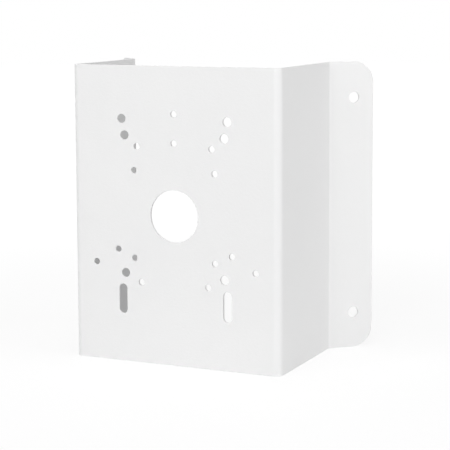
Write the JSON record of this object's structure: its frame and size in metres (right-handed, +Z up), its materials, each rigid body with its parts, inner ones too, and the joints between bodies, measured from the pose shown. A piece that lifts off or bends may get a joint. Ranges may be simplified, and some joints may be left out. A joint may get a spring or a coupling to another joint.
{
  "type": "camera corner mount bracket",
  "caption": "Folded steel bracket with a drilled camera plate, two side walls and angled flanges that fit an outside building corner.",
  "frame": {"origin": "centre of the cable hole, on the front face of the camera plate", "axes": "+X to the right seen from the front, +Y back towards the building, +Z up"},
  "size_m": [0.2384, 0.1343, 0.24],
  "materials": {
    "white_powder_coat": "matt white powder coat with a fine texture"
  },
  "bodies": {
    "root": {"corner_bracket": "white_powder_coat"}
  },
  "joints": []
}
